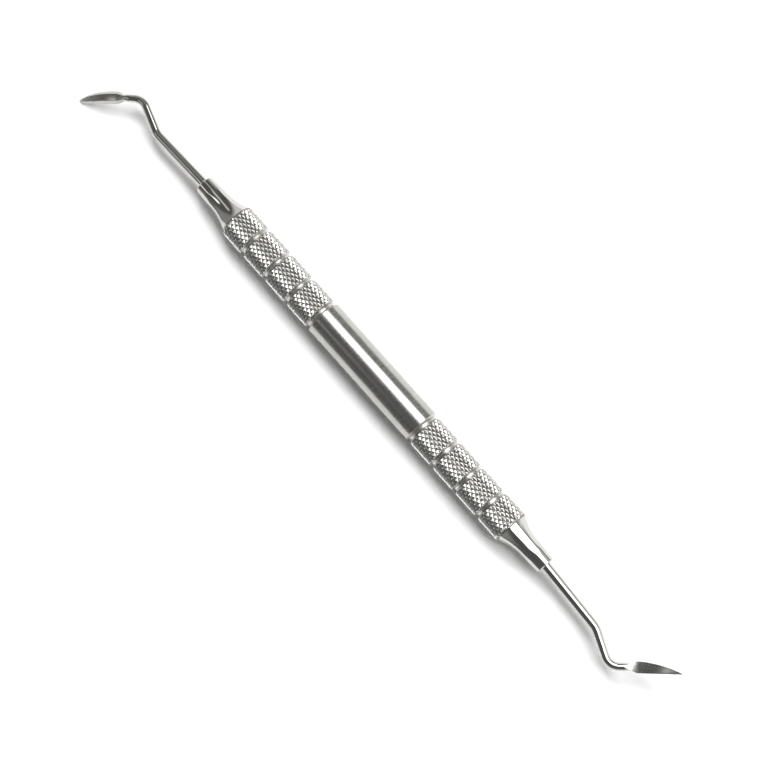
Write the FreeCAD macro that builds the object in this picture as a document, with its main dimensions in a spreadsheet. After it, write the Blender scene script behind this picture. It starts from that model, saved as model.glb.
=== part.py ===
import FreeCAD, Part
import Sketcher
import math
import os

# Double-ended sickle scaler, in millimetres. The origin is the middle of the handle, on its axis.
# +X runs along the handle to the right end, and +Z is up. It lies on its knurl at z = -handle_radius.

SIZES = (
    ("handle_radius", 4.0, "radius of the plain middle section and of the knurl's points"),
    ("smooth_length", 30.1, "length of the plain middle section"),
    ("bands_each_side", 4, "knurled bands on each side of the plain section"),
    ("band_pitch", 6.85, "distance from one ring groove to the next"),
    ("groove_mouth", 1.4, "width of a ring groove at the handle's surface"),
    ("groove_floor", 0.5, "width of a ring groove at its bottom"),
    ("groove_depth", 0.65, "depth of a ring groove below the handle's surface"),
    ("knurl_teeth", 24, "diamond points round the handle in one row"),
    ("knurl_pitch", 1.47, "distance along the axis between points that line up"),
    ("knurl_depth", 0.28, "height of the diamond points"),
    ("knurl_seat", 0.02, "step from the valleys of the knurl down to the band's core"),
    ("flare_length", 10.3, "from the last knurled band to the end of the handle"),
    ("flare_radius", 11.0, "radius of the turned hollow of a flare"),
    ("ferrule_length", 4.9, "length of the nearly straight end of the handle"),
    ("flare_neck_radius", 2.3, "radius of the handle where a flare begins"),
    ("ferrule_radius", 2.1, "radius at the end face of the handle"),
    ("ferrule_edge", 0.25, "chamfer round the end face of the handle"),
    ("facet_count", 8, "ground facets round each flare"),
    ("facet_start", 5.3, "from the end of the handle to the lowest point of a facet"),
    ("facet_floor", 2.295, "distance of that lowest point from the axis"),
    ("facet_radius", 11.9, "radius of the wheel that ground the facets"),
    ("facet_turn", 5.0, "turn about the axis of the ridges between facets, in degrees"),
    ("tang_radius", 1.2, "radius of a tang, and of its shank at the handle"),
    ("tang_length", 12.0, "depth to which a tang is seated"),
    ("tang_edge", 0.2, "chamfer at the inner end of a tang"),
    ("socket_clearance", 0.01, "radial gap between a tang and its socket"),
    ("socket_edge", 0.12, "chamfer at the mouth of a socket"),
    ("bent_radius", 0.92, "radius of a shank at its first bend"),
    ("neck_radius", 0.6, "radius of a shank where its blade begins"),
    ("bend_one_radius", 5.0, "radius of the first bend, on the shank's centre line"),
    ("bend_two_radius", 3.0, "radius of the second bend, on the shank's centre line"),
    ("blade_length", 12.0, "length of a blade along its curve, from the neck to the point"),
    ("blade_curl", 38.0, "turn of a blade towards its face, from neck to point, in degrees"),
    ("blade_sweep", 12.0, "turn of a blade to one side, from neck to point, in degrees"),
    ("heel_length", 2.4, "length of the heel, where the round neck widens into the blade"),
    ("heel_root", 0.2, "how far the heel starts inside the round neck"),
    ("heel_thickness", 1.15, "thickness of a blade at its heel"),
    ("point_thickness", 0.3, "thickness of a blade at its point"),
    ("face_share", 0.3, "part of the thickness above the blade's centre line"),
    ("back_share", 0.55, "width of the flat back as a part of the face's width"),
    ("right_run_one", 15.0, "right shank, from the handle to the first bend"),
    ("right_bend_one", 24.8, "right shank, first bend in degrees"),
    ("right_run_two", 9.0, "right shank, from the first bend to the second"),
    ("right_bend_two", 71.8, "right shank, second bend in degrees"),
    ("right_neck_run", 3.1, "right shank, from the second bend to the blade"),
    ("right_heel_width", 2.45, "right blade, width of the face at the heel"),
    ("right_point_width", 0.15, "right blade, width of the face at the point"),
    ("right_fullness", 2.0, "right blade, how late the edges close in on the point"),
    ("left_run_one", 14.85, "left shank, from the handle to the first bend"),
    ("left_bend_one", 17.4, "left shank, first bend in degrees"),
    ("left_run_two", 7.9, "left shank, from the first bend to the second"),
    ("left_bend_two", 59.4, "left shank, second bend in degrees"),
    ("left_neck_run", 3.2, "left shank, from the second bend to the blade"),
    ("left_heel_width", 2.6, "left blade, width of the face at the heel"),
    ("left_point_width", 0.45, "left blade, width of the face at the point"),
    ("left_fullness", 3.5, "left blade, how late the edges close in on the point"),
)

# Lengths that follow from the sizes and that several features share.
DERIVED = (
    # Width of a ring groove where it cuts the core of the knurled bands.
    ("root_gap", "sizes.groove_floor + (sizes.groove_mouth - sizes.groove_floor)"
                 " * (1 - (sizes.knurl_depth + sizes.knurl_seat) / sizes.groove_depth)"),
    ("root_radius", "sizes.handle_radius - sizes.knurl_depth - sizes.knurl_seat"),
    ("band_length", "sizes.band_pitch - derived.root_gap"),
    ("first_groove", "(sizes.smooth_length + sizes.groove_mouth) / 2"),
    ("flare_end", "derived.first_groove + sizes.bands_each_side * sizes.band_pitch"
                  " - derived.root_gap / 2"),
    ("half_handle", "derived.flare_end + sizes.flare_length"),
    # Radius of the blade's curve towards its face.
    ("curl_radius", "sizes.blade_length * 180 / (pi * sizes.blade_curl)"),
)

# Each end of the handle: the turn of the tip about Z and the roll of its blade, in degrees.
ENDS = (("right", 0.0, 0.0), ("left", 180.0, 180.0))

# Stations of the blade's sections, from the heel (0) to the point (1).
BLADE_STATIONS = (0.25, 0.5, 0.75, 0.9, 1.0)

ORIGIN = FreeCAD.Vector(0, 0, 0)
X_AXIS = FreeCAD.Vector(1, 0, 0)
Z_AXIS = FreeCAD.Vector(0, 0, 1)
FULL_TURN = 360


def add_sizes(doc):
    """The spreadsheet of driving dimensions, and the lengths worked out from it."""
    sheet = doc.addObject("Spreadsheet::Sheet", "sizes")
    for row, (alias, number, meaning) in enumerate(SIZES, start=1):
        sheet.set(f"A{row}", alias)
        sheet.set(f"B{row}", str(number))
        sheet.set(f"C{row}", meaning)
        sheet.setAlias(f"B{row}", alias)
    doc.recompute()
    derived = doc.addObject("App::VarSet", "derived")
    for name, expression in DERIVED:
        derived.addProperty("App::PropertyFloat", name)
        derived.setExpression(name, expression)
        doc.recompute()
    return sheet, derived


def origin_plane(body, role):
    """One of a body's own origin planes or axes."""
    return next(f for f in body.Origin.OriginFeatures if f.Role == role)


def new_sketch(body, name, role="XZ_Plane"):
    """An empty sketch on one of the body's origin planes."""
    sketch = body.newObject("Sketcher::SketchObject", name)
    sketch.AttachmentSupport = (origin_plane(body, role), [""])
    sketch.MapMode = "FlatFace"
    return sketch


def bind(sketch, constraint, expression):
    """Add a constraint and tie its value to an expression of the sizes."""
    index = sketch.addConstraint(constraint)
    sketch.setExpression(f"Constraints[{index}]", expression)


def fix_point(sketch, edge, end, across, up):
    """Hold a point of a sketch at the place that two expressions give."""
    for axis, kind, expression in ((-2, "DistanceX", across), (-1, "DistanceY", up)):
        if expression == "0":
            sketch.addConstraint(Sketcher.Constraint("PointOnObject", edge, end, axis))
        else:
            start = sketch.getPoint(edge, end)
            rough = start.x if kind == "DistanceX" else start.y
            bind(sketch, Sketcher.Constraint(kind, -1, 1, edge, end, rough), expression)


def near_end(sketch, edge, place):
    """Which end of an edge, 1 or 2, lies at a place."""
    return min((1, 2), key=lambda end: (sketch.getPoint(edge, end) - place).Length)


def draw_outline(sketch, corners, bulges=None):
    """A closed outline through corners, each (rough x, rough y, x expression, y expression).

    bulges gives, for each side that is an arc, its rough rise to the left of travel.
    """
    bulges = bulges or {}
    places = [FreeCAD.Vector(corner[0], corner[1], 0) for corner in corners]
    count = len(places)
    for side, start in enumerate(places):
        end = places[(side + 1) % count]
        if side in bulges:
            left = Z_AXIS.cross(end - start).normalize()
            sketch.addGeometry(Part.Arc(start, (start + end) / 2 + left * bulges[side], end))
        else:
            sketch.addGeometry(Part.LineSegment(start, end))
    for side in range(count):
        following = (side + 1) % count
        place = places[following]
        ends = (side, near_end(sketch, side, place), following, near_end(sketch, following, place))
        sketch.addConstraint(Sketcher.Constraint("Coincident", *ends))
    for side, corner in enumerate(corners):
        fix_point(sketch, side, near_end(sketch, side, places[side]), corner[2], corner[3])


def turn_profile(body, kind, name, sketch):
    """A full turn of a profile about the handle's axis, as a Revolution or a Groove."""
    feature = body.newObject(kind, name)
    feature.Profile = sketch
    feature.ReferenceAxis = (sketch, ["H_Axis"])
    feature.Angle = FULL_TURN
    return feature


def mirror_feature(body, name, original):
    """The same feature at the other end of the handle."""
    mirrored = body.newObject("PartDesign::Mirrored", name)
    mirrored.Originals = [original]
    mirrored.MirrorPlane = (origin_plane(body, "YZ_Plane"), [""])
    body.Tip = mirrored
    return mirrored


def handle_core(doc):
    """The turned bar: plain section, grooved core of the bands, flares, ferrules and sockets."""
    body = doc.addObject("PartDesign::Body", "handle_core")
    bar = new_sketch(body, "bar_profile")
    draw_outline(bar, (
        (0.0, 0.0, "0", "0"),
        (53.0, 0.0, "derived.half_handle", "0"),
        (53.0, 1.9, "derived.half_handle", "sizes.ferrule_radius - sizes.ferrule_edge"),
        (52.7, 2.1, "derived.half_handle - sizes.ferrule_edge", "sizes.ferrule_radius"),
        (48.1, 2.3, "derived.half_handle - sizes.ferrule_length", "sizes.flare_neck_radius"),
        (42.7, 3.7, "derived.flare_end", "derived.root_radius"),
        (15.7, 3.7, "derived.first_groove", "derived.root_radius"),
        (15.7, 4.0, "derived.first_groove", "sizes.handle_radius"),
        (0.0, 4.0, "0", "sizes.handle_radius"),
    ), {4: 0.35})
    bind(bar, Sketcher.Constraint("Radius", 4, 11.0), "sizes.flare_radius")
    half_bar = turn_profile(body, "PartDesign::Revolution", "half_bar", bar)
    mirror_feature(body, "whole_bar", half_bar)

    ring = new_sketch(body, "ring_profile")
    floor = "sizes.handle_radius - sizes.groove_depth"
    slope = "(sizes.groove_mouth - sizes.groove_floor) / (2 * sizes.groove_depth)"
    # The cut runs past the surface by the depth of the knurl, with the same slope.
    top = "sizes.handle_radius + sizes.knurl_depth"
    reach = f"(sizes.groove_mouth / 2 + sizes.knurl_depth * {slope})"
    draw_outline(ring, (
        (15.5, 3.3, "derived.first_groove - sizes.groove_floor / 2", floor),
        (16.0, 3.3, "derived.first_groove + sizes.groove_floor / 2", floor),
        (16.7, 4.3, f"derived.first_groove + {reach}", top),
        (14.8, 4.3, f"derived.first_groove - {reach}", top),
    ))
    first_ring = turn_profile(body, "PartDesign::Groove", "first_ring_groove", ring)
    rings = body.newObject("PartDesign::MultiTransform", "ring_grooves")
    rings.Originals = [first_ring]
    row = body.newObject("PartDesign::LinearPattern", "ring_row")
    row.Direction = (origin_plane(body, "X_Axis"), [""])
    row.setExpression("Length", "(sizes.bands_each_side - 1) * sizes.band_pitch")
    row.setExpression("Occurrences", "sizes.bands_each_side")
    other_side = body.newObject("PartDesign::Mirrored", "ring_mirror")
    other_side.MirrorPlane = (origin_plane(body, "YZ_Plane"), [""])
    rings.Transformations = [row, other_side]
    body.Tip = rings

    bore = new_sketch(body, "socket_profile")
    radius = "sizes.tang_radius + sizes.socket_clearance"
    draw_outline(bore, (
        (41.0, 0.0, "derived.half_handle - sizes.tang_length", "0"),
        (53.0, 0.0, "derived.half_handle", "0"),
        (53.0, 1.33, "derived.half_handle", f"{radius} + sizes.socket_edge"),
        (52.9, 1.21, "derived.half_handle - sizes.socket_edge", radius),
        (41.0, 1.21, "derived.half_handle - sizes.tang_length", radius),
    ))
    socket = turn_profile(body, "PartDesign::Groove", "socket", bore)
    mirror_feature(body, "both_sockets", socket)
    return body


def knurl_ring(start, length, size):
    """One knurled band as a closed ring: diamond points on a grid, with flat ends.

    Odd and even rows of the grid carry their points half a tooth apart. The two end rows have no
    points, so the band's edges fall off as if chamfered. The ring's bore lies inside the bar's wall.
    """
    rows = max(2, round(2 * length / size("knurl_pitch")))
    steps = 2 * int(size("knurl_teeth"))
    high = size("handle_radius")
    low = high - size("knurl_depth")

    def grid_point(row, step):
        is_point = (row + step) % 2 == 0 and 0 < row < rows
        radius = high if is_point else low
        angle = 2 * math.pi * step / steps
        return FreeCAD.Vector(start + length * row / rows, radius * math.cos(angle),
                              radius * math.sin(angle))

    faces = []
    for row in range(rows):
        for step in range(steps):
            a, b = grid_point(row, step), grid_point(row + 1, step)
            c, d = grid_point(row + 1, step + 1), grid_point(row, step + 1)
            # Each cell is folded along its valley, from one low corner to the other.
            valley_first = (row + step) % 2 == 0
            triangles = ((a, b, d), (b, c, d)) if valley_first else ((a, b, c), (a, c, d))
            for triangle in triangles:
                faces.append(Part.Face(Part.makePolygon([*triangle, triangle[0]])))
    for row in (0, rows):
        ring = [grid_point(row, step) for step in range(steps)]
        faces.append(Part.Face(Part.makePolygon([*ring, ring[0]])))
    drum = Part.makeSolid(Part.makeShell(faces))
    bore_radius = (size("tang_radius") + high - size("groove_depth")) / 2
    return drum.cut(Part.makeCylinder(bore_radius, length, X_AXIS * start, X_AXIS))


def knurl_bands(doc, sheet, derived):
    """All the knurled bands, four on each side of the plain section."""
    def size(alias):
        return float(sheet.get(alias))

    bands = []
    for place in range(int(size("bands_each_side"))):
        start = derived.first_groove + derived.root_gap / 2 + place * size("band_pitch")
        for side, left_end in (("right", start), ("left", -start - derived.band_length)):
            band = doc.addObject("Part::Feature", f"knurl_band_{side}_{place + 1}")
            band.Shape = knurl_ring(left_end, derived.band_length, size)
            bands.append(band)
    return bands


def facet_wheels(doc):
    """The round wheels that hollow the facets of the right flare."""
    body = doc.addObject("PartDesign::Body", "facet_wheels")
    rim = new_sketch(body, "wheel_rim")
    rim.addGeometry(Part.Circle(FreeCAD.Vector(47.6, 14.2, 0), Z_AXIS, 11.9))
    bind(rim, Sketcher.Constraint("Radius", 0, 11.9), "sizes.facet_radius")
    fix_point(rim, 0, 3, "derived.half_handle - sizes.facet_start",
              "sizes.facet_floor + sizes.facet_radius")
    wheel = body.newObject("PartDesign::Pad", "wheel")
    wheel.Profile = rim
    wheel.SideType = "Symmetric"
    wheel.setExpression("Length", "3 * sizes.handle_radius")
    wheels = body.newObject("PartDesign::PolarPattern", "wheels")
    wheels.Originals = [wheel]
    wheels.Axis = (origin_plane(body, "X_Axis"), [""])
    wheels.Angle = FULL_TURN
    wheels.setExpression("Occurrences", "sizes.facet_count")
    body.Tip = wheels
    body.Placement = FreeCAD.Placement(ORIGIN, FreeCAD.Rotation(X_AXIS, 1))
    body.setExpression("Placement.Rotation.Angle", "sizes.facet_turn + 180 / sizes.facet_count")
    return body


def make_handle(doc, sheet, derived):
    """The whole handle: the bar with its knurled bands on it, then the flares ground to facets."""
    core = handle_core(doc)
    blank = doc.addObject("Part::MultiFuse", "knurled_bar")
    blank.Shapes = [core, *knurl_bands(doc, sheet, derived)]
    right_wheels = facet_wheels(doc)
    left_wheels = doc.addObject("Part::Mirroring", "left_facet_wheels")
    left_wheels.Source = right_wheels
    left_wheels.Normal = X_AXIS
    half_ground = doc.addObject("Part::Cut", "half_ground_bar")
    half_ground.Base = blank
    half_ground.Tool = right_wheels
    handle = doc.addObject("Part::Cut", "handle")
    handle.Base = half_ground
    handle.Tool = left_wheels
    # No two faces of the knurl lie in one plane, so there is nothing to merge.
    for step in (blank, half_ground, handle):
        step.Refine = False
    return handle


def bent_route(start, corners, radii):
    """Arcs and straight runs from a start through corners, each corner rounded by its radius."""
    edges = []
    for corner, following, radius in zip(corners, corners[1:], radii):
        arriving = (corner - start).normalize()
        leaving = (following - corner).normalize()
        half_turn = arriving.getAngle(leaving) / 2
        first = corner - arriving * (radius * math.tan(half_turn))
        last = corner + leaving * (radius * math.tan(half_turn))
        inward = (leaving - arriving).normalize()
        middle = corner + inward * (radius / math.cos(half_turn) - radius)
        if edges:
            edges.append(Part.LineSegment(start, first))
        edges.append(Part.Arc(first, middle, last))
        start = last
    edges.append(Part.LineSegment(start, corners[-1]))
    return edges


def shank_spine(body, side, size):
    """The bent part of a shank's centre line: a bend, a run, a bend back and the neck."""
    bend_one = -math.radians(size(f"{side}_bend_one"))
    heading = bend_one + math.radians(size(f"{side}_bend_two"))
    first = FreeCAD.Vector(size(f"{side}_run_one"), 0, 0)
    second = first + FreeCAD.Vector(math.cos(bend_one), math.sin(bend_one), 0) * size(f"{side}_run_two")
    neck_end = second + FreeCAD.Vector(math.cos(heading), math.sin(heading), 0) * size(f"{side}_neck_run")
    radii = (size("bend_one_radius"), size("bend_two_radius"))

    spine = new_sketch(body, f"{side}_shank_spine", "XY_Plane")
    for edge in bent_route(ORIGIN, (first, second, neck_end), radii):
        spine.addGeometry(edge)
    arc_one, run, arc_two, neck = range(4)
    # Both bends are arcs that meet the runs smoothly; the first turns right and the second left.
    spine.addConstraint(Sketcher.Constraint("Tangent", arc_one, 1, run, 1))
    spine.addConstraint(Sketcher.Constraint("Tangent", run, 2, arc_two, 1))
    spine.addConstraint(Sketcher.Constraint("Tangent", arc_two, 2, neck, 1))
    cut_one = f"sizes.bend_one_radius * tan(sizes.{side}_bend_one / 2)"
    cut_two = f"sizes.bend_two_radius * tan(sizes.{side}_bend_two / 2)"
    bend_start = f"sizes.{side}_run_one - {cut_one}"
    fix_point(spine, arc_one, 2, bend_start, "0")
    fix_point(spine, arc_one, 3, bend_start, "-sizes.bend_one_radius")
    bind(spine, Sketcher.Constraint("Radius", arc_two, radii[1]), "sizes.bend_two_radius")
    bind(spine, Sketcher.Constraint("Angle", run, bend_one), f"-sizes.{side}_bend_one * 1 deg")
    bind(spine, Sketcher.Constraint("Angle", neck, heading),
         f"(sizes.{side}_bend_two - sizes.{side}_bend_one) * 1 deg")
    bind(spine, Sketcher.Constraint("Distance", run, 5.0),
         f"sizes.{side}_run_two - {cut_one} - {cut_two}")
    bind(spine, Sketcher.Constraint("Distance", neck, 1.0), f"sizes.{side}_neck_run - {cut_two}")
    return spine, bend_start


def make_shank(doc, side, size):
    """A tang with its straight tapered run, and the bent run that narrows to the neck."""
    body = doc.addObject("PartDesign::Body", f"{side}_shank")
    spine, bend_start = shank_spine(body, side, size)
    straight = new_sketch(body, f"{side}_straight_profile")
    draw_outline(straight, (
        (-12.0, 0.0, "-sizes.tang_length", "0"),
        (14.0, 0.0, bend_start, "0"),
        (14.0, 0.9, bend_start, "sizes.bent_radius"),
        (0.5, 1.2, "0", "sizes.tang_radius"),
        (-11.8, 1.2, "-sizes.tang_length + sizes.tang_edge", "sizes.tang_radius"),
        (-12.0, 1.0, "-sizes.tang_length", "sizes.tang_radius - sizes.tang_edge"),
    ))
    turn_profile(body, "PartDesign::Revolution", f"{side}_straight_run", straight)

    start_circle = new_sketch(body, f"{side}_bend_section", "YZ_Plane")
    start_circle.setExpression("AttachmentOffset.Base.z", bend_start)
    end_circle = body.newObject("Sketcher::SketchObject", f"{side}_neck_section")
    end_circle.AttachmentSupport = (spine, ["Edge4"])
    end_circle.MapMode = "NormalToEdge"
    end_circle.MapPathParameter = 1.0
    for circle, alias in ((start_circle, "bent_radius"), (end_circle, "neck_radius")):
        circle.addGeometry(Part.Circle(ORIGIN, Z_AXIS, size(alias)))
        circle.addConstraint(Sketcher.Constraint("Coincident", 0, 3, -1, 1))
        bind(circle, Sketcher.Constraint("Radius", 0, size(alias)), f"sizes.{alias}")
    doc.recompute()
    bent = body.newObject("PartDesign::AdditivePipe", f"{side}_bent_run")
    bent.Profile = start_circle
    bent.Spine = (spine, ["Edge1", "Edge2", "Edge3", "Edge4"])
    bent.Transformation = "Multisection"
    bent.Sections = [(end_circle, [""])]
    return body


def blade_section(body, name, turn, outline):
    """A section across the blade, turned along its curve by a part of the curl.

    outline gives the face's width, its height, the back's width and its depth.
    """
    face_width, face_height, back_width, back_depth = outline
    section = new_sketch(body, name, "YZ_Plane")
    tilt = FreeCAD.Rotation(X_AXIS, -1)
    section.AttachmentOffset = FreeCAD.Placement(ORIGIN, tilt)
    angle = f"sizes.blade_curl * {turn}"
    section.setExpression("AttachmentOffset.Rotation.Angle", f"-{angle}")
    sideways = f"-sizes.blade_length * sizes.blade_sweep * pi / 360 * {turn} ^ 2"
    section.setExpression("AttachmentOffset.Base.x", sideways)
    section.setExpression("AttachmentOffset.Base.y", f"derived.curl_radius * (1 - cos({angle}))")
    section.setExpression("AttachmentOffset.Base.z", f"derived.curl_radius * sin({angle})")
    draw_outline(section, (
        (-1.0, 0.3, f"-{face_width} / 2", face_height),
        (-0.5, -0.7, f"-{back_width} / 2", f"-{back_depth}"),
        (0.5, -0.7, f"{back_width} / 2", f"-{back_depth}"),
        (1.0, 0.3, f"{face_width} / 2", face_height),
    ))
    return section


def blade_outline(side, station):
    """The four lengths of a blade's section at a station from the heel (0) to the point (1)."""
    closing = f"{station} ^ sizes.{side}_fullness"
    width = f"(sizes.{side}_heel_width * (1 - {closing}) + sizes.{side}_point_width * {closing})"
    thickness = f"(sizes.heel_thickness * (1 - {station}) + sizes.point_thickness * {station})"
    return (width, f"{thickness} * sizes.face_share", f"{width} * sizes.back_share",
            f"{thickness} * (1 - sizes.face_share)")


def make_blade(doc, side):
    """A sickle blade that starts at the neck, runs along +X and curls up towards its face."""
    body = doc.addObject("PartDesign::Body", f"{side}_blade")
    nose = body.newObject("PartDesign::AdditiveCone", f"{side}_neck_nose")
    nose.AttachmentSupport = (origin_plane(body, "YZ_Plane"), [""])
    nose.MapMode = "FlatFace"
    nose.setExpression("Radius1", "sizes.neck_radius")
    nose.setExpression("Radius2", "sizes.neck_radius / 2")
    nose.setExpression("Height", "sizes.heel_length * 0.6")

    # The heel starts inside the neck as a narrow wedge, so that its face comes out as a point.
    heel_turn = "(sizes.heel_length / sizes.blade_length)"
    root = blade_section(body, f"{side}_heel_root", "(-sizes.heel_root / sizes.blade_length)", (
        "sizes.neck_radius * 0.2", "sizes.neck_radius * 0.97",
        "sizes.neck_radius * 1.1", "sizes.neck_radius * 0.75"))
    heel = blade_section(body, f"{side}_heel_section", heel_turn, blade_outline(side, 0))
    flare = body.newObject("PartDesign::AdditiveLoft", f"{side}_heel")
    flare.Profile = root
    flare.Sections = [(heel, [""])]
    flare.Ruled = True

    sections = []
    for station in BLADE_STATIONS:
        turn = f"({heel_turn} * (1 - {station}) + {station})"
        name = f"{side}_section_{round(station * 100)}"
        sections.append(blade_section(body, name, turn, blade_outline(side, station)))
    start = blade_section(body, f"{side}_blade_start", heel_turn, blade_outline(side, 0))
    blade = body.newObject("PartDesign::AdditiveLoft", f"{side}_sickle")
    blade.Profile = start
    blade.Sections = [(section, [""]) for section in sections]
    return body


def make_tip(doc, side, turn, roll, size):
    """One working tip: its shank, with the blade set on the end of the neck."""
    shank = make_shank(doc, side, size)
    blade = make_blade(doc, side)
    bend_one = f"sizes.{side}_bend_one"
    heading = f"(sizes.{side}_bend_two - {bend_one})"
    run_one, run_two, neck = (f"sizes.{side}_{part}" for part in ("run_one", "run_two", "neck_run"))
    blade.Placement = FreeCAD.Placement(ORIGIN, FreeCAD.Rotation(1, 0, roll))
    blade.setExpression("Placement.Rotation.Yaw", heading)
    blade.setExpression("Placement.Base.x",
                        f"{run_one} + {run_two} * cos({bend_one}) + {neck} * cos({heading})")
    blade.setExpression("Placement.Base.y", f"-{run_two} * sin({bend_one}) + {neck} * sin({heading})")
    tip = doc.addObject("Part::MultiFuse", f"{side}_scaler_tip")
    tip.Shapes = [shank, blade]
    tip.Placement = FreeCAD.Placement(ORIGIN, FreeCAD.Rotation(Z_AXIS, turn))
    direction = 1 if turn == 0 else -1
    tip.setExpression("Placement.Base.x", f"{direction} * derived.half_handle")
    return tip


def check(doc, nodes):
    """Stop if any object of the document failed or a node's solid is not whole."""
    failed = [o.Name for o in doc.Objects if "Invalid" in o.State or "Error" in o.State]
    if failed:
        raise RuntimeError(f"objects that failed: {failed}")
    for node in nodes:
        shape = node.Shape
        if shape.isNull() or not shape.isValid() or len(shape.Solids) != 1:
            raise RuntimeError(f"{node.Label} is not one valid solid")


def main():
    doc = FreeCAD.newDocument("sickle_scaler")
    sheet, derived = add_sizes(doc)

    def size(alias):
        return float(sheet.get(alias))

    nodes = [make_tip(doc, side, turn, roll, size) for side, turn, roll in ENDS]
    nodes.append(make_handle(doc, sheet, derived))
    doc.recompute()
    check(doc, nodes)
    os.makedirs("parts", exist_ok=True)
    for node in nodes:
        node.Shape.exportStep(f"parts/{node.Label}.step")
        print(f"{node.Label}: {node.Shape.Volume:.2f} mm3, {len(node.Shape.Faces)} faces")


main()
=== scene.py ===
import math
from collections import namedtuple

import bpy
from mathutils import Matrix, Vector


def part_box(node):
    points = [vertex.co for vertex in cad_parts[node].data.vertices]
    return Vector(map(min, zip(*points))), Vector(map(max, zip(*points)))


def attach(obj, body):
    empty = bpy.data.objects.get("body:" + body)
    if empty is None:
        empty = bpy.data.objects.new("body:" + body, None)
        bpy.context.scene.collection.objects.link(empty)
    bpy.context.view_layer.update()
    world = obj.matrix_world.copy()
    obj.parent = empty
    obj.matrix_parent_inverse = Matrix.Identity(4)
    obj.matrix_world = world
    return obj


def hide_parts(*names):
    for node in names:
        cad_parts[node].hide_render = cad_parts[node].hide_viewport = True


# The looks of a double-ended sickle scaler that lies on a white table, seen from above.
# Lengths are in metres; MM turns a size in millimetres into metres.
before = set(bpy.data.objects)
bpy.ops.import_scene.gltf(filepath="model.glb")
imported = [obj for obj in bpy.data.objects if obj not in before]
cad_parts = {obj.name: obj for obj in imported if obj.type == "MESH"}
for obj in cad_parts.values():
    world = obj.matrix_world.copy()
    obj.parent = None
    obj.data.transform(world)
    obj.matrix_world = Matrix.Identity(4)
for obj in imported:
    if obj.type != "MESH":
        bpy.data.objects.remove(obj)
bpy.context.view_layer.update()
MM = 0.001

# Sizes of the handle. Its length and radius come from its highest corner in the frame.
HANDLE_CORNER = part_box("handle")[1]
HALF_HANDLE = HANDLE_CORNER.x
HANDLE_RADIUS = HANDLE_CORNER.z
SMOOTH_LENGTH = 30.1 * MM
BANDS_EACH_SIDE = 4
BAND_PITCH = 6.85 * MM
GROOVE_MOUTH = 1.4 * MM
GROOVE_FLOOR = 0.5 * MM
GROOVE_DEPTH = 0.65 * MM
FLARE_LENGTH = 10.3 * MM
FERRULE_LENGTH = 4.9 * MM
FLARE_NECK_RADIUS = 2.32 * MM
FERRULE_RADIUS = 2.1 * MM
FERRULE_EDGE = 0.2 * MM
SOCKET_RADIUS = 1.13 * MM
SOCKET_EDGE = 0.1 * MM
SOCKET_DEPTH = 12.0 * MM

# The knurl has this many teeth round the bar and points along a band. Its crests are blunt from a
# share of their height, and the flare starts a seat's depth below its valleys.
KNURL_TEETH = 24
KNURL_POINTS_ALONG = 4
KNURL_DEPTH = 0.28 * MM
CREST_SHARE = 0.88
KNURL_SEAT = 0.02 * MM

# Facets are ground on each flare. They run straight from the end, and then rise in an arc as far as
# they reach. The crown rounds them between their ridges, from 0 for flat to 1 for round.
FACETS = 8
FACET_FLAT = 4.3 * MM
FACET_FLOOR = 2.12 * MM
FACET_REACH = 8.0 * MM
FACET_RADIUS = 14.5 * MM
FACET_CROWN = 0.5

# Steps of the handle's mesh. The facets' ridges lie on whole steps, the first one three past the top.
STEPS_PER_TOOTH = 8
STEPS_AROUND = KNURL_TEETH * STEPS_PER_TOOTH
RIDGE_STEP = 3
FLARE_STATIONS = 44
HANDLE_SHARP_ANGLE = math.radians(20.0)

# Places that follow from these sizes. The root is where a band's valleys end, at a groove or flare.
GROOVE_SLOPE = GROOVE_DEPTH / ((GROOVE_MOUTH - GROOVE_FLOOR) / 2)
FIRST_GROOVE = (SMOOTH_LENGTH + GROOVE_MOUTH) / 2
ROOT_RADIUS = HANDLE_RADIUS - KNURL_DEPTH - KNURL_SEAT
ROOT_HALF_GAP = GROOVE_FLOOR / 2 + (GROOVE_DEPTH - KNURL_DEPTH) / GROOVE_SLOPE
FLARE_START = HALF_HANDLE - FLARE_LENGTH

# Sizes that both tips share: the tang in the socket, the shank with its two bends, and the blade,
# which curls towards its face and sweeps to one side.
TANG_RADIUS = 1.12 * MM
TANG_LENGTH = 12.0 * MM
BENT_RADIUS = 1.03 * MM
NECK_RADIUS = 0.85 * MM
BEND_ONE_RADIUS = 5.0 * MM
BEND_TWO_RADIUS = 3.0 * MM
BLADE_LENGTH = 12.0 * MM
BLADE_CURL = math.radians(36.0)
CURL_RADIUS = BLADE_LENGTH / BLADE_CURL
BLADE_SWEEP = math.radians(12.0)
HEEL_LENGTH = 2.4 * MM
HEEL_THICKNESS = 1.15 * MM
POINT_THICKNESS = 0.3 * MM
FACE_EDGE_RADIUS = 0.02 * MM
BACK_EDGE_RADIUS = 0.08 * MM

# The share of a blade's thickness on the face's side of its middle, the back's width as a share of
# the face's, and the most of a side that the rounding of a corner may take.
FACE_SHARE = 0.3
BACK_SHARE = 0.55
CORNER_SHARE = 0.3

# The blade starts as a wedge, a root's depth inside the neck, and the round neck runs on as a nose
# inside the heel, a relief below its face and back. The wedge has shares of the neck's radius, and
# the nose has shares of the heel's length and of that radius.
HEEL_ROOT = 0.2 * MM
HEEL_RELIEF = 0.02 * MM
NOSE_LENGTH = 0.6
NOSE_RADIUS = 0.75
WEDGE_HEIGHT = 0.97
WEDGE_WIDTH = 0.2

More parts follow.
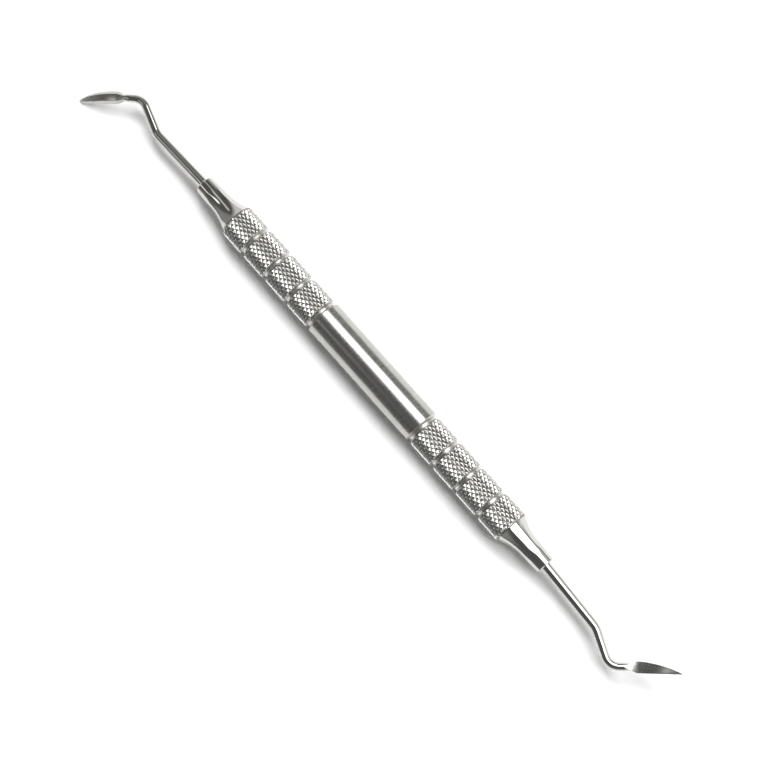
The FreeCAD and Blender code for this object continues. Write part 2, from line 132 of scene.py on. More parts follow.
# What differs between the tips: runs, widths and the rounding of the point in millimetres, and
# angles in degrees. The turn puts a tip on its end of the handle, the lean is the angle of its first
# run to the axis, and the roll turns the blade about its heading. A blade with more fullness keeps
# its width for longer.
TIPS = {
    "right_scaler_tip": {
        "turn": 0.0, "lean": -3.0, "run_one": 15.8, "bend_one": 20.6, "run_two": 8.1,
        "bend_two": 71.5, "neck_run": 3.2, "roll": 0.0, "heel_width": 2.35, "point_width": 0.15,
        "fullness": 1.8, "point_round": 0.1},
    "left_scaler_tip": {
        "turn": 180.0, "lean": 1.5, "run_one": 14.58, "bend_one": 20.9, "run_two": 8.1,
        "bend_two": 62.1, "neck_run": 3.0, "roll": 170.0, "heel_width": 2.65, "point_width": 0.8,
        "fullness": 3.0, "point_round": 0.5},
}

# Steps of the tips' meshes. The point rounds off in equal steps of degrees.
SHANK_STEPS_AROUND = 64
STRAIGHT_STEPS = 12
BEND_STEPS = 32
RUN_STEPS = 8
NOSE_STEPS = 8
BLADE_STEPS = 40
POINT_STEPS = 6
POINT_STEP_DEGREES = 16
CORNER_STEPS = 4
TIP_SHARP_ANGLE = math.radians(25.0)

# The material slots of a tip.
SHANK_SLOT = 0
BLADE_SLOT = 1

# Colours of the steel.
STEEL_PALE = (0.62, 0.615, 0.585, 1.0)
STEEL_DULL = (0.52, 0.515, 0.485, 1.0)
SATIN_PALE = (0.5, 0.495, 0.47, 1.0)
SATIN_DULL = (0.42, 0.415, 0.39, 1.0)
WORN_EDGE = (0.2, 0.195, 0.18, 1.0)
# The knurl's crest colour is a painted highlight, paler than the rest of the steel, and its valley
# colour is painted shade.
KNURL_CREST_HIGHLIGHT = (0.88, 0.875, 0.84, 1.0)
KNURL_VALLEY_SHADE = (0.2, 0.195, 0.18, 1.0)

# Wear reaches this far from a sharp edge. It is full where the bevelled normal's likeness to the
# plain one, the dot product of the two, falls to this.
EDGE_REACH = 0.15 * MM
WORN_LIKENESS = 0.9

# Grains of the finishes: sizes along X, Y and Z.
SATIN_LINES = Vector((0.03, 2.5, 2.5)) * MM
SATIN_CLOUDS = Vector((3.0, 3.0, 3.0)) * MM
HANDLE_SCRATCHES = Vector((0.08, 1.5, 1.5)) * MM
SHANK_SCRATCHES = Vector((1.5, 0.06, 0.06)) * MM
BLADE_SCRATCHES = Vector((3.0, 0.05, 0.05)) * MM
POLISH_CLOUDS = Vector((2.0, 2.0, 2.0)) * MM
KNURL_GRAIN = Vector((0.12, 0.12, 0.12)) * MM

# Each finish turns a part of its grain's range into a range of roughness, and has a relief's depth.
SATIN_RANGE = (0.3, 0.7)
SATIN_ROUGHNESS = (0.23, 0.29)
SATIN_RELIEF = 0.0002 * MM
SCRATCH_RANGE = (0.35, 0.65)
POLISH_ROUGHNESS = (0.05, 0.14)
GROOVE_ROUGHNESS = (0.25, 0.45)
BLADE_ROUGHNESS = (0.2, 0.34)
SCRATCH_RELIEF = 0.0004 * MM

# The knurl's colour is painted shade: it is palest from its crests down to a depth, and darkest in
# its valleys. A grain soils all of it a little, and what is soiled is rougher.
UNSHADED_DEPTH = 0.6 * KNURL_DEPTH
SOIL_RANGE = (0.2, 0.6)
SOIL_CLEANNESS = (0.75, 1.0)
KNURL_ROUGHNESS = (0.4, 0.2)
KNURL_RELIEF = 0.001 * MM

# The camera stands over the right half of the handle and looks at a point near its middle.
CAMERA_DISTANCE = 450 * MM
VIEW_WIDTH = 156.8 * MM
CAMERA_AIM = Vector((3.52, 0.13, 0.0)) * MM
CAMERA_LEAN = math.radians(7.9)
HANDLE_SLOPE = math.radians(48.17)
SENSOR_WIDTH = 36.0
CLIP_START = 10 * MM

# The table and the world are white where they are seen directly, and darker as a source of light.
WHITE = (1.0, 1.0, 1.0, 1.0)
TABLE_LIT = (0.8, 0.8, 0.8, 1.0)
TABLE_Z = -HANDLE_RADIUS
TABLE_SIZE = 4.0
WORLD_GREY = 0.05

# The room is a dark dome round the table. Its low wall glows and fades out upwards, brighter
# towards the handle's ends, and brighter at the back than in front.
ROOM_RADIUS = 1.3
ROOM_ROWS = 12
ROOM_STEPS = 32
ROOM_GREY = 0.12
WALL_FADE = (0.5 * ROOM_RADIUS, 0.35 * ROOM_RADIUS)
SIDE_PLACES = (0.2 * ROOM_RADIUS, 0.6 * ROOM_RADIUS)
SIDE_GLOW = (0.12, 0.6)
DEPTH_PLACES = (-0.4 * ROOM_RADIUS, 0.4 * ROOM_RADIUS)
DEPTH_GLOW = (0.35, 1.25)

# The lights: the turn from overhead towards +Y in degrees, the place along X, the size and the
# distance, and the power in watts. The fill lights the left end and isn't reflected in the steel.
PANELS = {
    "softbox": {
        "turn": 27.5, "along": 0.26, "size": (0.82, 0.378), "distance": 0.6, "power": 4.8,
        "reflected": True},
    "low_panel": {
        "turn": 62.0, "along": 0.3, "size": (0.6, 0.3), "distance": 0.7, "power": 0.3,
        "reflected": True},
    "left_front_strip": {
        "turn": -38.0, "along": -0.25, "size": (0.2, 0.06), "distance": 0.6, "power": 0.1,
        "reflected": True},
    "left_back_strip": {
        "turn": 25.0, "along": -0.45, "size": (0.54, 0.08), "distance": 0.6, "power": 0.1,
        "reflected": True},
    "left_fill": {
        "turn": 27.5, "along": -0.35, "size": (0.3, 0.2), "distance": 0.6, "power": 2.4,
        "reflected": False},
}

# A ring of the handle's mesh: its place, its radius at each step round the bar, the kind of steel
# before it on the way out from the middle, and how many teeth along its band it lies.
Station = namedtuple("Station", "x radii kind along")


def add_piece(name, mesh, node):
    """A finished mesh as a piece of the object, in the place of a CAD node."""
    piece = bpy.data.objects.new(name, mesh)
    bpy.context.scene.collection.objects.link(piece)
    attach(piece, "root")
    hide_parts(node)


def ring_edge(index, step, count):
    """Numbers of two neighbouring points on a ring, in a skin whose rings have a count of points."""
    return index * count + step, index * count + (step + 1) % count


def close_ends(points, faces, count):
    """Adds a fan to each end of a skin of rings, round the middle of the ring there."""
    for index in (0, len(points) // count - 1):
        middle = sum(points[index * count:(index + 1) * count], Vector()) / count
        centre = len(points)
        points.append(middle)
        for step in range(count):
            a, b = ring_edge(index, step, count)
            faces.append((a, b, centre) if index else (b, a, centre))


def new_mesh(name, points, faces, smooth, slots):
    """A mesh, with the smoothness and the material slot of each face."""
    mesh = bpy.data.meshes.new(name)
    mesh.from_pydata(points, [], faces)
    mesh.polygons.foreach_set("use_smooth", smooth)
    mesh.polygons.foreach_set("material_index", slots)
    mesh.update()
    return mesh


def ridge_heights(around, along):
    """Heights, from 0 to 1, of the two crossing rows of ridges; places are counted in teeth."""
    return [1 - abs(2 * (crossing % 1.0) - 1) for crossing in (around + along, around - along)]


def knurl_radius(around, along):
    """Radius of the knurl: flat-sided diamond points with slightly blunted crests."""
    height = min(1.0, min(ridge_heights(around, along)) / CREST_SHARE)
    return HANDLE_RADIUS - KNURL_DEPTH * (1 - height)


def groove_limit(x):
    """Largest radius that the ring grooves leave at a distance from the handle's middle."""
    place = round((x - FIRST_GROOVE) / BAND_PITCH)
    place = min(max(place, 0), BANDS_EACH_SIDE - 1)
    from_centre = abs(x - FIRST_GROOVE - place * BAND_PITCH)
    rise = max(0.0, from_centre - GROOVE_FLOOR / 2) * GROOVE_SLOPE
    return min(HANDLE_RADIUS, HANDLE_RADIUS - GROOVE_DEPTH + rise)


def turned_radius(x):
    """Radius of the turned flare and ferrule, before they are ground."""
    from_end = HALF_HANDLE - x
    if from_end > FERRULE_LENGTH:
        part = (from_end - FERRULE_LENGTH) / (FLARE_LENGTH - FERRULE_LENGTH)
        radius = FLARE_NECK_RADIUS + (ROOT_RADIUS - FLARE_NECK_RADIUS) * part
    else:
        part = from_end / FERRULE_LENGTH
        radius = FERRULE_RADIUS + (FLARE_NECK_RADIUS - FERRULE_RADIUS) * part
    return min(radius, FERRULE_RADIUS - FERRULE_EDGE + from_end)


def ground_radius(x, step):
    """Radius that the facets leave: straight near the end, rising in an arc, slightly crowned."""
    risen = max(0.0, HALF_HANDLE - FACET_FLAT - x)
    if risen > FACET_REACH:
        return HANDLE_RADIUS
    steps_per_facet = STEPS_AROUND // FACETS
    from_middle = (step - RIDGE_STEP) % steps_per_facet - steps_per_facet / 2
    distance = FACET_FLOOR + FACET_RADIUS - math.sqrt(FACET_RADIUS ** 2 - risen ** 2)
    flat = distance / math.cos(from_middle * 2 * math.pi / STEPS_AROUND)
    return flat + (distance / math.cos(math.pi / FACETS) - flat) * FACET_CROWN


def round_station(x, radius, kind):
    """A round ring of the handle, outside the knurl."""
    return Station(x, [radius] * STEPS_AROUND, kind, 0.0)


def band_stations(place):
    """Stations of one ring groove and the knurled band that follows it."""
    centre = FIRST_GROOVE + place * BAND_PITCH
    stations = []
    if place == 0:
        stations.append(round_station(centre - GROOVE_MOUTH / 2, HANDLE_RADIUS, "plain"))
    for offset in (-GROOVE_FLOOR / 2, GROOVE_FLOOR / 2):
        stations.append(round_station(centre + offset, HANDLE_RADIUS - GROOVE_DEPTH, "groove"))
    start = centre + ROOT_HALF_GAP
    length = BAND_PITCH - 2 * ROOT_HALF_GAP
    rows = KNURL_POINTS_ALONG * STEPS_PER_TOOTH
    for row in range(rows + 1):
        x = start + length * row / rows
        limit = groove_limit(x)
        if place == BANDS_EACH_SIDE - 1:
            limit = min(limit, ROOT_RADIUS + (start + length - x) * GROOVE_SLOPE)
        along = row / STEPS_PER_TOOTH
        radii = [min(limit, knurl_radius(step / STEPS_PER_TOOTH, along), ground_radius(x, step))
                 for step in range(STEPS_AROUND)]
        stations.append(Station(x, radii, "knurl" if row else "groove", along))
    return stations


def end_stations():
    """Stations of the right flare and ferrule, and of the socket down to its floor."""
    edge_start = HALF_HANDLE - FERRULE_EDGE
    places = [FLARE_START + (edge_start - FLARE_START) * index / FLARE_STATIONS
              for index in range(1, FLARE_STATIONS + 1)]
    stations = []
    for x in (*places, HALF_HANDLE):
        radii = [min(turned_radius(x), ground_radius(x, step)) for step in range(STEPS_AROUND)]
        stations.append(Station(x, radii, "polished", 0.0))
    stations.append(round_station(HALF_HANDLE, SOCKET_RADIUS + SOCKET_EDGE, "polished"))
    for depth in (SOCKET_EDGE, SOCKET_DEPTH):
        stations.append(round_station(HALF_HANDLE - depth, SOCKET_RADIUS, "polished"))
    return stations


def handle_stations():
    """Stations of the whole handle, from the floor of its left socket to that of its right one."""
    right = [round_station(0.0, HANDLE_RADIUS, "plain")]
    for place in range(BANDS_EACH_SIDE):
        right += band_stations(place)
    right += end_stations()
    left = [station._replace(x=-station.x) for station in right[:0:-1]]
    return left + right


def knurl_triangles(corners, along_grows, around, along):
    """Two triangles that split a small square of the knurl along the ridges that shape it."""
    a, b, c, d = corners
    rising, falling = ridge_heights(around, along)
    if (rising < falling) == along_grows:
        return (a, b, d), (b, c, d)
    return (a, b, c), (a, c, d)


def handle_faces(stations):
    """The faces between the handle's stations, and each face's kind of steel."""
    faces, kinds = [], []
    for index, (this, following) in enumerate(zip(stations, stations[1:])):
        kind = this.kind if this.x < 0 else following.kind
        along = (this.along + following.along) / 2
        for step in range(STEPS_AROUND):
            a, b = ring_edge(index, step, STEPS_AROUND)
            corners = (a, b, b + STEPS_AROUND, a + STEPS_AROUND)
            if kind == "knurl":
                around = (step + 0.5) / STEPS_PER_TOOTH
                faces += knurl_triangles(corners, this.along < following.along, around, along)
                kinds += [kind, kind]
            else:
                faces.append(corners)
                kinds.append(kind)
    return faces, kinds


def handle_mesh(materials):
    """The handle as one closed turned mesh, knurled and ground, with its two sockets."""
    stations = handle_stations()
    angles = [2 * math.pi * step / STEPS_AROUND for step in range(STEPS_AROUND)]
    points = [Vector((station.x, -radius * math.sin(angle), radius * math.cos(angle)))
              for station in stations for angle, radius in zip(angles, station.radii)]
    faces, kinds = handle_faces(stations)
    close_ends(points, faces, STEPS_AROUND)
    kinds += ["polished"] * (len(faces) - len(kinds))
    order = list(materials)
    mesh = new_mesh("handle_bar", points, faces, [kind != "knurl" for kind in kinds],
                    [order.index(kind) for kind in kinds])
    for material in materials.values():
        mesh.materials.append(material)
    mesh.set_sharp_from_angle(angle=HANDLE_SHARP_ANGLE)
    return mesh


def shank_legs(tip):
    """Length of a shank's straight first run, and the legs of its bent part: (length, turn)."""
    run_one, run_two, neck_run = (tip[key] * MM for key in ("run_one", "run_two", "neck_run"))
    bend_one, bend_two = (math.radians(tip[key]) for key in ("bend_one", "bend_two"))
    # Each bend cuts the length of its tangent off the runs on both sides of it.
    cut_one = BEND_ONE_RADIUS * math.tan(bend_one / 2)
    cut_two = BEND_TWO_RADIUS * math.tan(bend_two / 2)
    legs = ((BEND_ONE_RADIUS * bend_one, -bend_one), (run_two - cut_one - cut_two, 0.0),
            (BEND_TWO_RADIUS * bend_two, bend_two), (neck_run - cut_two, 0.0))
    return run_one - cut_one, legs


def shank_route(tip):
    """Stations along a shank from its tang to the neck: (place, heading, radius)."""
    first_run, legs = shank_legs(tip)
    lean = math.radians(tip["lean"])
    stations = [(Vector((-TANG_LENGTH, 0)), 0.0, TANG_RADIUS)]
    for step in range(STRAIGHT_STEPS + 1):
        part = step / STRAIGHT_STEPS
        place = Vector((math.cos(lean), math.sin(lean))) * first_run * part
        stations.append((place, lean, TANG_RADIUS + (BENT_RADIUS - TANG_RADIUS) * part))

    # The bent part is walked leg by leg in small chords, and grows thinner towards the neck.
    whole = sum(length for length, turn in legs)
    place, heading, walked = stations[-1][0], lean, 0.0
    for length, turn in legs:
        steps = BEND_STEPS if turn else RUN_STEPS
        half_turn = turn / steps / 2
        chord = length / steps
        if turn:
            chord *= math.sin(half_turn) / half_turn
        for step in range(steps):
            heading += half_turn
            place = place + Vector((math.cos(heading), math.sin(heading))) * chord
            heading += half_turn
            walked += length / steps
            radius = BENT_RADIUS + (NECK_RADIUS - BENT_RADIUS) * walked / whole
            stations.append((place, heading, radius))
    return stations


def circle_points(radius):
    """Places round a circle, counted from the side: (sideways, up)."""
    angles = [2 * math.pi * step / SHANK_STEPS_AROUND for step in range(SHANK_STEPS_AROUND)]
    return [(radius * math.cos(angle), radius * math.sin(angle)) for angle in angles]


def shank_rings(tip):
    """Rings of points along a shank."""
    rings = []
    for place, heading, radius in shank_route(tip):
        side = Vector((-math.sin(heading), math.cos(heading), 0))
        rings.append([Vector((place.x, place.y, up)) + side * sideways
                      for sideways, up in circle_points(radius)])
    return rings


def heel_heights(x):
    """Heights of the heel's ground face and back at a distance from the neck."""
    turn = BLADE_CURL * HEEL_LENGTH / BLADE_LENGTH
    part = (x + HEEL_ROOT) / (HEEL_LENGTH + HEEL_ROOT)
    bow = CURL_RADIUS * (1 - math.cos(turn))
    face = bow + HEEL_THICKNESS * FACE_SHARE * math.cos(turn)
    back = bow - HEEL_THICKNESS * (1 - FACE_SHARE) * math.cos(turn)
    root = NECK_RADIUS * WEDGE_HEIGHT
    return root + (face - root) * part - HEEL_RELIEF, (back + root) * part - root + HEEL_RELIEF


def nose_rings(blade_to_tip, roll):
    """The round neck that runs on inside the heel, ground off by the heel's face and back."""
    unroll = Matrix.Rotation(-roll, 4, "X")
    rings = []
    for step in range(1, NOSE_STEPS + 1):
        part = step / NOSE_STEPS
        x = HEEL_LENGTH * NOSE_LENGTH * part
        face, back = heel_heights(x)
        ring = []
        for sideways, up in circle_points(NECK_RADIUS * (1 - (1 - NOSE_RADIUS) * part)):
            point = unroll @ Vector((x, sideways, up))
            point.z = min(max(point.z, back), face)
            ring.append(blade_to_tip @ point)
        rings.append(ring)
    return rings


def rounded_corner(before, corner, after, radius):
    """A few points that round a corner of a section."""
    into, out = (before - corner).normalized(), (after - corner).normalized()
    shorter = min((before - corner).length, (after - corner).length)
    reach = min(radius, shorter * CORNER_SHARE)
    start, end = corner + into * reach, corner + out * reach
    parts = [step / CORNER_STEPS for step in range(CORNER_STEPS + 1)]
    return [start * (1 - part) ** 2 + corner * 2 * part * (1 - part) + end * part ** 2
            for part in parts]


def blade_ring(turn, face_width, face_height, back_width, back_depth):
    """One section of a blade in the blade's own frame, at a part of its curl."""
    corners = [Vector((-face_width / 2, face_height)), Vector((-back_width / 2, -back_depth)),
               Vector((back_width / 2, -back_depth)), Vector((face_width / 2, face_height))]
    radii = (FACE_EDGE_RADIUS, BACK_EDGE_RADIUS, BACK_EDGE_RADIUS, FACE_EDGE_RADIUS)
    outline = []
    for index, corner in enumerate(corners):
        after = corners[(index + 1) % len(corners)]
        outline += rounded_corner(corners[index - 1], corner, after, radii[index])
    angle = BLADE_CURL * turn
    centre = Vector((CURL_RADIUS * math.sin(angle), -BLADE_LENGTH * BLADE_SWEEP / 2 * turn ** 2,
                     CURL_RADIUS * (1 - math.cos(angle))))
    up = Vector((-math.sin(angle), 0, math.cos(angle)))
    return [centre + Vector((0, 1, 0)) * place.x + up * place.y for place in outline]


def blade_parts(rounding):
    """Places along a blade from 0 at the heel to 1 at the point, closer where the point is round."""
    even = [step / BLADE_STEPS for step in range(BLADE_STEPS) if step / BLADE_STEPS < 1 - rounding]
    turns = [math.radians(POINT_STEP_DEGREES * step) for step in range(POINT_STEPS)]
    return even + [1 - rounding + rounding * math.sin(turn) for turn in turns]


def blade_rings(tip):
    """Sections of a blade, from the wedge inside the neck to the rounded point."""
    heel_width, point_width = tip["heel_width"] * MM, tip["point_width"] * MM
    heel_turn = HEEL_LENGTH / BLADE_LENGTH
    wedge = (WEDGE_WIDTH * NECK_RADIUS, WEDGE_HEIGHT * NECK_RADIUS) * 2
    rings = [blade_ring(-HEEL_ROOT / BLADE_LENGTH, *wedge)]
    rounding = tip["point_round"] * MM / (BLADE_LENGTH - HEEL_LENGTH)
    for part in blade_parts(rounding):
        closing = part ** tip["fullness"]
        width = heel_width * (1 - closing) + point_width * closing
        past = max(0.0, part - (1 - rounding)) / rounding
        width *= math.sqrt(1 - past ** 2)
        thickness = HEEL_THICKNESS * (1 - part) + POINT_THICKNESS * part
        rings.append(blade_ring(heel_turn * (1 - part) + part, width, thickness * FACE_SHARE,
                                width * BACK_SHARE, thickness * (1 - FACE_SHARE)))
    return rings


def swept_mesh(name, rings, slot):
    """A closed smooth mesh through rings of points, in one material slot."""
    count = len(rings[0])
    points = [point for ring in rings for point in ring]
    faces = []
    for index in range(len(rings) - 1):
        for step in range(count):
            a, b = ring_edge(index, step, count)
            faces.append((a, b, b + count, a + count))
    close_ends(points, faces, count)
    return new_mesh(name, points, faces, [True] * len(faces), [slot] * len(faces))


def join_meshes(first, second):
    """Both meshes as one closed skin."""
    objects = [bpy.data.objects.new(mesh.name, mesh) for mesh in (first, second)]
    for item in objects:
        bpy.context.scene.collection.objects.link(item)
    union = objects[0].modifiers.new("union", "BOOLEAN")
    union.operation = "UNION"
    union.solver = "EXACT"
    union.object = objects[1]
    graph = bpy.context.evaluated_depsgraph_get()
    joined = bpy.data.meshes.new_from_object(objects[0].evaluated_get(graph))
    for item in objects:
        bpy.data.objects.remove(item)
    return joined


def tip_mesh(name, tip, materials):
    """A working tip: the swept shank and its blade, joined into one closed mesh."""
    onto_handle = (Matrix.Rotation(math.radians(tip["turn"]), 4, "Z")
                   @ Matrix.Translation((HALF_HANDLE, 0, 0)))
    neck, heading = shank_route(tip)[-1][:2]
    roll = math.radians(tip["roll"])
    blade_to_tip = (Matrix.Translation((neck.x, neck.y, 0)) @ Matrix.Rotation(heading, 4, "Z")
                    @ Matrix.Rotation(roll, 4, "X"))
    rings = shank_rings(tip) + nose_rings(blade_to_tip, roll)
    shank = swept_mesh(name + "_shank", rings, SHANK_SLOT)
    blade = swept_mesh(name + "_blade", blade_rings(tip), BLADE_SLOT)
    blade.transform(blade_to_tip)
    for mesh in (shank, blade):
        mesh.transform(onto_handle)
        for material in materials:
            mesh.materials.append(material)
    joined = join_meshes(shank, blade)
    joined.set_sharp_from_angle(angle=TIP_SHARP_ANGLE)
    return joined


class Nodes:
    """The node tree of a material or the world, with short ways to add and link its nodes."""

    def __init__(self, owner, output="ShaderNodeOutputMaterial"):
        owner.use_nodes = True
        self.owner = owner
        self.tree = owner.node_tree
        self.tree.nodes.clear()
        self.output = self.tree.nodes.new(output)

    def add(self, kind, inputs=None, **settings):
        """A node with settings, and inputs that are values or other nodes' outputs."""
        node = self.tree.nodes.new(kind)
        for key, setting in settings.items():
            setattr(node, key, setting)
        for key, source in (inputs or {}).items():
            if isinstance(source, bpy.types.NodeSocket):
                self.tree.links.new(source, node.inputs[key])
            else:
                node.inputs[key].default_value = source
        return node

    def show(self, shader):
        """Shows a shader on the surface, and returns the material or the world."""
        self.tree.links.new(shader.outputs[0], self.output.inputs["Surface"])
        return self.owner

    def combine(self, operation, first, second=0.0):
        """What an operation, such as ADD, makes of one or two values."""
        return self.add("ShaderNodeMath", {0: first, 1: second}, operation=operation).outputs[0]

    def remap(self, source, given, wanted=(0.0, 1.0)):
        """A value stretched from one range to another, and held inside it."""
        inputs = {"Value": source, "From Min": given[0], "From Max": given[1],
                  "To Min": wanted[0], "To Max": wanted[1]}
        return self.add("ShaderNodeMapRange", inputs).outputs[0]

    def blend(self, factor, first, second):
        """A colour between two others. The Mix node's colour sockets go by their numbers."""
        inputs = {"Factor": factor, 6: first, 7: second}
        return self.add("ShaderNodeMix", inputs, data_type="RGBA").outputs[2]

    def noise(self, grain, turn=0.0, detail=2.0):
        """Noise with a grain of given sizes, turned about the upright axis."""
        place = self.add("ShaderNodeTexCoord").outputs["Object"]
        turned = self.add("ShaderNodeVectorRotate", {"Vector": place, "Angle": -turn},
                          rotation_type="Z_AXIS").outputs[0]
        scaled = self.add("ShaderNodeVectorMath", {0: turned, 1: [1 / size for size in grain]},
                          operation="MULTIPLY").outputs[0]
        inputs = {"Vector": scaled, "Scale": 1.0, "Detail": detail}
        return self.add("ShaderNodeTexNoise", inputs).outputs[0]

    def edges(self):
        """1 along sharp edges, fading to 0 where the wear ends."""
        rounded = self.add("ShaderNodeBevel", {"Radius": EDGE_REACH}).outputs[0]
        flat = self.add("ShaderNodeNewGeometry").outputs["Normal"]
        likeness = self.add("ShaderNodeVectorMath", {0: rounded, 1: flat}, operation="DOT_PRODUCT")
        return self.remap(likeness.outputs["Value"], (1.0, WORN_LIKENESS))

    def finish_metal(self, colour, roughness, relief, depth):
        """The material as metal, with relief of a depth as its bump."""
        bump = self.add("ShaderNodeBump", {"Height": relief, "Distance": depth, "Strength": 1.0})
        return self.show(self.add("ShaderNodeBsdfPrincipled", {
            "Metallic": 1.0, "Base Color": colour, "Roughness": roughness,
            "Normal": bump.outputs[0]}))


def satin_steel():
    """The plain section: fine turned lines round the bar over a soft sheen."""
    nodes = Nodes(bpy.data.materials.new("satin_steel"))
    lines = nodes.noise(SATIN_LINES)
    colour = nodes.blend(nodes.noise(SATIN_CLOUDS), SATIN_DULL, SATIN_PALE)
    roughness = nodes.remap(lines, SATIN_RANGE, SATIN_ROUGHNESS)
    return nodes.finish_metal(colour, roughness, lines, SATIN_RELIEF)


def polished_steel(name, grain, turn=0.0, rough=POLISH_ROUGHNESS, tones=(STEEL_DULL, STEEL_PALE)):
    """Polished steel, worn dull along its edges, with fine scratches of a grain and turn."""
    nodes = Nodes(bpy.data.materials.new(name))
    scratches = nodes.noise(grain, turn, detail=3.0)
    steel = nodes.blend(nodes.noise(POLISH_CLOUDS), *tones)
    colour = nodes.blend(nodes.edges(), steel, WORN_EDGE)
    roughness = nodes.remap(scratches, SCRATCH_RANGE, rough)
    return nodes.finish_metal(colour, roughness, scratches, SCRATCH_RELIEF)


def knurled_steel():
    """The knurl: flanks paled with a painted highlight, and valleys that are dull and darkened with
    painted shade, soiled a little by a grain of residue.
    """
    nodes = Nodes(bpy.data.materials.new("knurled_steel"))
    place = nodes.add("ShaderNodeTexCoord").outputs["Object"]
    axes = nodes.add("ShaderNodeSeparateXYZ", {0: place}).outputs
    squares = [nodes.combine("POWER", axes[name], 2.0) for name in ("Y", "Z")]
    radius = nodes.combine("SQRT", nodes.combine("ADD", *squares))
    # Painted shade: the colour darkens from a depth below the crests down to the valleys.
    height = nodes.remap(radius, (HANDLE_RADIUS - KNURL_DEPTH, HANDLE_RADIUS - UNSHADED_DEPTH))
    grain = nodes.noise(KNURL_GRAIN, detail=3.0)
    # The painted light and shade and the real soiling are multiplied into one mask for colour and
    # roughness.
    lit_and_clean = nodes.combine("MULTIPLY", height, nodes.remap(grain, SOIL_RANGE, SOIL_CLEANNESS))
    colour = nodes.blend(lit_and_clean, KNURL_VALLEY_SHADE, KNURL_CREST_HIGHLIGHT)
    roughness = nodes.remap(lit_and_clean, (0.0, 1.0), KNURL_ROUGHNESS)
    return nodes.finish_metal(colour, roughness, grain, KNURL_RELIEF)


def handle_materials():
    """The handle's steels, by the kinds that its stations name."""
    return {
        "plain": satin_steel(),
        "polished": polished_steel("polished_handle_steel", HANDLE_SCRATCHES),
        "groove": polished_steel("groove_steel", HANDLE_SCRATCHES, rough=GROOVE_ROUGHNESS),
        "knurl": knurled_steel(),
    }


def tip_materials(name, tip):
    """A tip's steels: the polished shank, and the satin blade, brushed along its heading."""
    blade_heading = math.radians(tip["lean"] - tip["bend_one"] + tip["bend_two"]) - BLADE_SWEEP / 2
    return (
        polished_steel(name + "_shank_steel", SHANK_SCRATCHES),
        polished_steel(name + "_blade_steel", BLADE_SCRATCHES, blade_heading, BLADE_ROUGHNESS,
                       (SATIN_DULL, SATIN_PALE)),
    )


def seen_directly(nodes):
    """1 for rays from the camera and for what metal or glass shows, and 0 for other rays."""
    path = nodes.add("ShaderNodeLightPath").outputs
    shown = nodes.combine("MAXIMUM", path["Is Camera Ray"], path["Is Glossy Ray"])
    return nodes.combine("MAXIMUM", shown, path["Is Transmission Ray"])


def add_camera():
    """The camera, placed and rolled as the photograph's was."""
    data = bpy.data.cameras.new("camera")
    data.sensor_width = SENSOR_WIDTH
    data.lens = SENSOR_WIDTH * CAMERA_DISTANCE / VIEW_WIDTH
    data.clip_start = CLIP_START
    camera = bpy.data.objects.new("camera", data)
    bpy.context.scene.collection.objects.link(camera)
    turned = Matrix.Rotation(CAMERA_LEAN, 4, "Y") @ Matrix.Rotation(HANDLE_SLOPE, 4, "Z")
    place = CAMERA_AIM + turned.col[2].xyz * CAMERA_DISTANCE
    camera.matrix_world = Matrix.Translation(place) @ turned
    bpy.context.scene.camera = camera


def add_stage_object(name, mesh, material):
    """A part of the studio, which isn't part of the object."""
    item = bpy.data.objects.new(name, mesh)
    bpy.context.scene.collection.objects.link(item)
    mesh.materials.append(material)
    return item


def add_table():
    """The white table. What sees it directly sees it whiter than it lights the object."""
    mesh = bpy.data.meshes.new("table_top")
    half = TABLE_SIZE / 2
    corners = [(x * half, y * half, TABLE_Z) for x, y in ((-1, -1), (1, -1), (1, 1), (-1, 1))]
    mesh.from_pydata(corners, [], [(0, 1, 2, 3)])
    nodes = Nodes(bpy.data.materials.new("white_table"))
    colour = nodes.blend(seen_directly(nodes), TABLE_LIT, WHITE)
    material = nodes.show(nodes.add("ShaderNodeBsdfDiffuse", {"Color": colour}))
    add_stage_object("table_top", mesh, material)


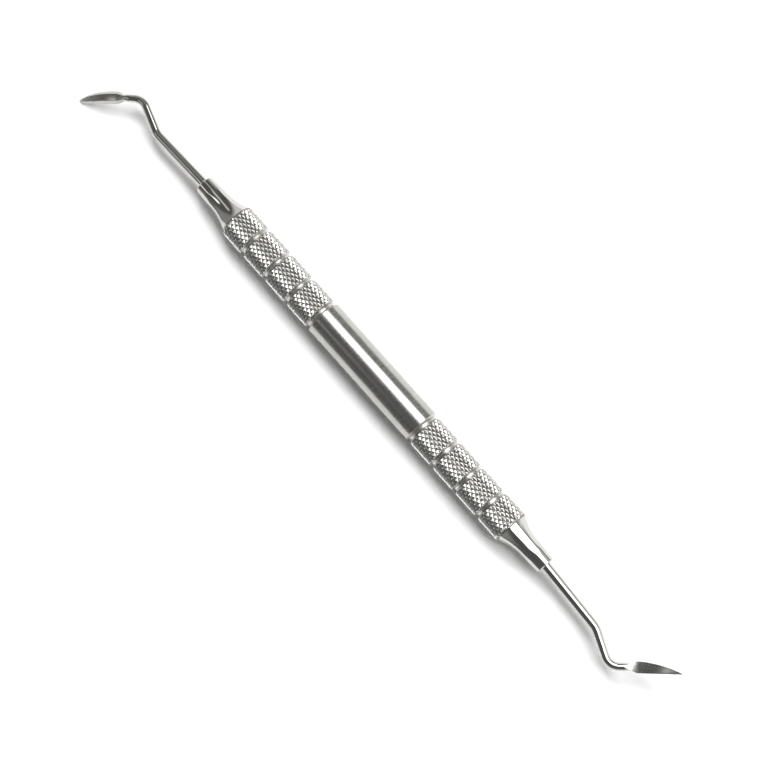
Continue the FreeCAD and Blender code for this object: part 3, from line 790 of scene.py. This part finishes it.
def dome_mesh():
    """The room's dome: one point at the top, and rings down to the table."""
    points = [(0.0, 0.0, TABLE_Z + ROOM_RADIUS)]
    for row in range(1, ROOM_ROWS + 1):
        zenith = math.pi / 2 * row / ROOM_ROWS
        for step in range(ROOM_STEPS):
            angle = 2 * math.pi * step / ROOM_STEPS
            points.append((ROOM_RADIUS * math.sin(zenith) * math.cos(angle),
                           ROOM_RADIUS * math.sin(zenith) * math.sin(angle),
                           TABLE_Z + ROOM_RADIUS * math.cos(zenith)))
    faces = [(0, 1 + step, 1 + (step + 1) % ROOM_STEPS) for step in range(ROOM_STEPS)]
    for row in range(ROOM_ROWS - 1):
        for step in range(ROOM_STEPS):
            a, b = (1 + number for number in ring_edge(row, step, ROOM_STEPS))
            faces.append((a, a + ROOM_STEPS, b + ROOM_STEPS, b))
    mesh = bpy.data.meshes.new("room")
    mesh.from_pydata(points, [], faces)
    return mesh


def add_room():
    """The dark room round the table, which the steel shows and the camera looks through."""
    nodes = Nodes(bpy.data.materials.new("dark_room"))
    place = nodes.add("ShaderNodeTexCoord").outputs["Object"]
    axes = nodes.add("ShaderNodeSeparateXYZ", {0: place}).outputs
    side = nodes.remap(nodes.combine("ABSOLUTE", axes["X"]), SIDE_PLACES, SIDE_GLOW)
    depth = nodes.remap(axes["Y"], DEPTH_PLACES, DEPTH_GLOW)
    wall = nodes.combine("MULTIPLY", nodes.remap(axes["Z"], WALL_FADE),
                         nodes.combine("MULTIPLY", side, depth))
    glow = nodes.combine("ADD", ROOM_GREY, wall)
    material = nodes.show(nodes.add("ShaderNodeEmission", {"Strength": glow}))
    room = add_stage_object("room", dome_mesh(), material)
    room.visible_camera = False


def add_world():
    """A dim grey world that shows as white where it is seen directly."""
    nodes = Nodes(bpy.data.worlds.new("studio"), "ShaderNodeOutputWorld")
    strength = nodes.combine("MAXIMUM", seen_directly(nodes), WORLD_GREY)
    shader = nodes.add("ShaderNodeBackground", {"Color": WHITE, "Strength": strength})
    bpy.context.scene.world = nodes.show(shader)


def add_panel(name, panel):
    """A soft light over the table."""
    data = bpy.data.lights.new(name, "AREA")
    data.shape = "RECTANGLE"
    data.size, data.size_y = panel["size"]
    data.energy = panel["power"]
    light = bpy.data.objects.new(name, data)
    light.matrix_world = (Matrix.Rotation(math.radians(-panel["turn"]), 4, "X")
                          @ Matrix.Translation((panel["along"], 0, panel["distance"])))
    light.visible_glossy = panel["reflected"]
    bpy.context.scene.collection.objects.link(light)


add_camera()
add_table()
add_room()
add_world()
for panel_name, panel in PANELS.items():
    add_panel(panel_name, panel)

add_piece("handle_bar", handle_mesh(handle_materials()), "handle")
for tip_name, tip in TIPS.items():
    finished = tip_mesh(tip_name, tip, tip_materials(tip_name, tip))
    add_piece(tip_name + "_finish", finished, tip_name)

bpy.context.scene.view_settings.view_transform = "Standard"
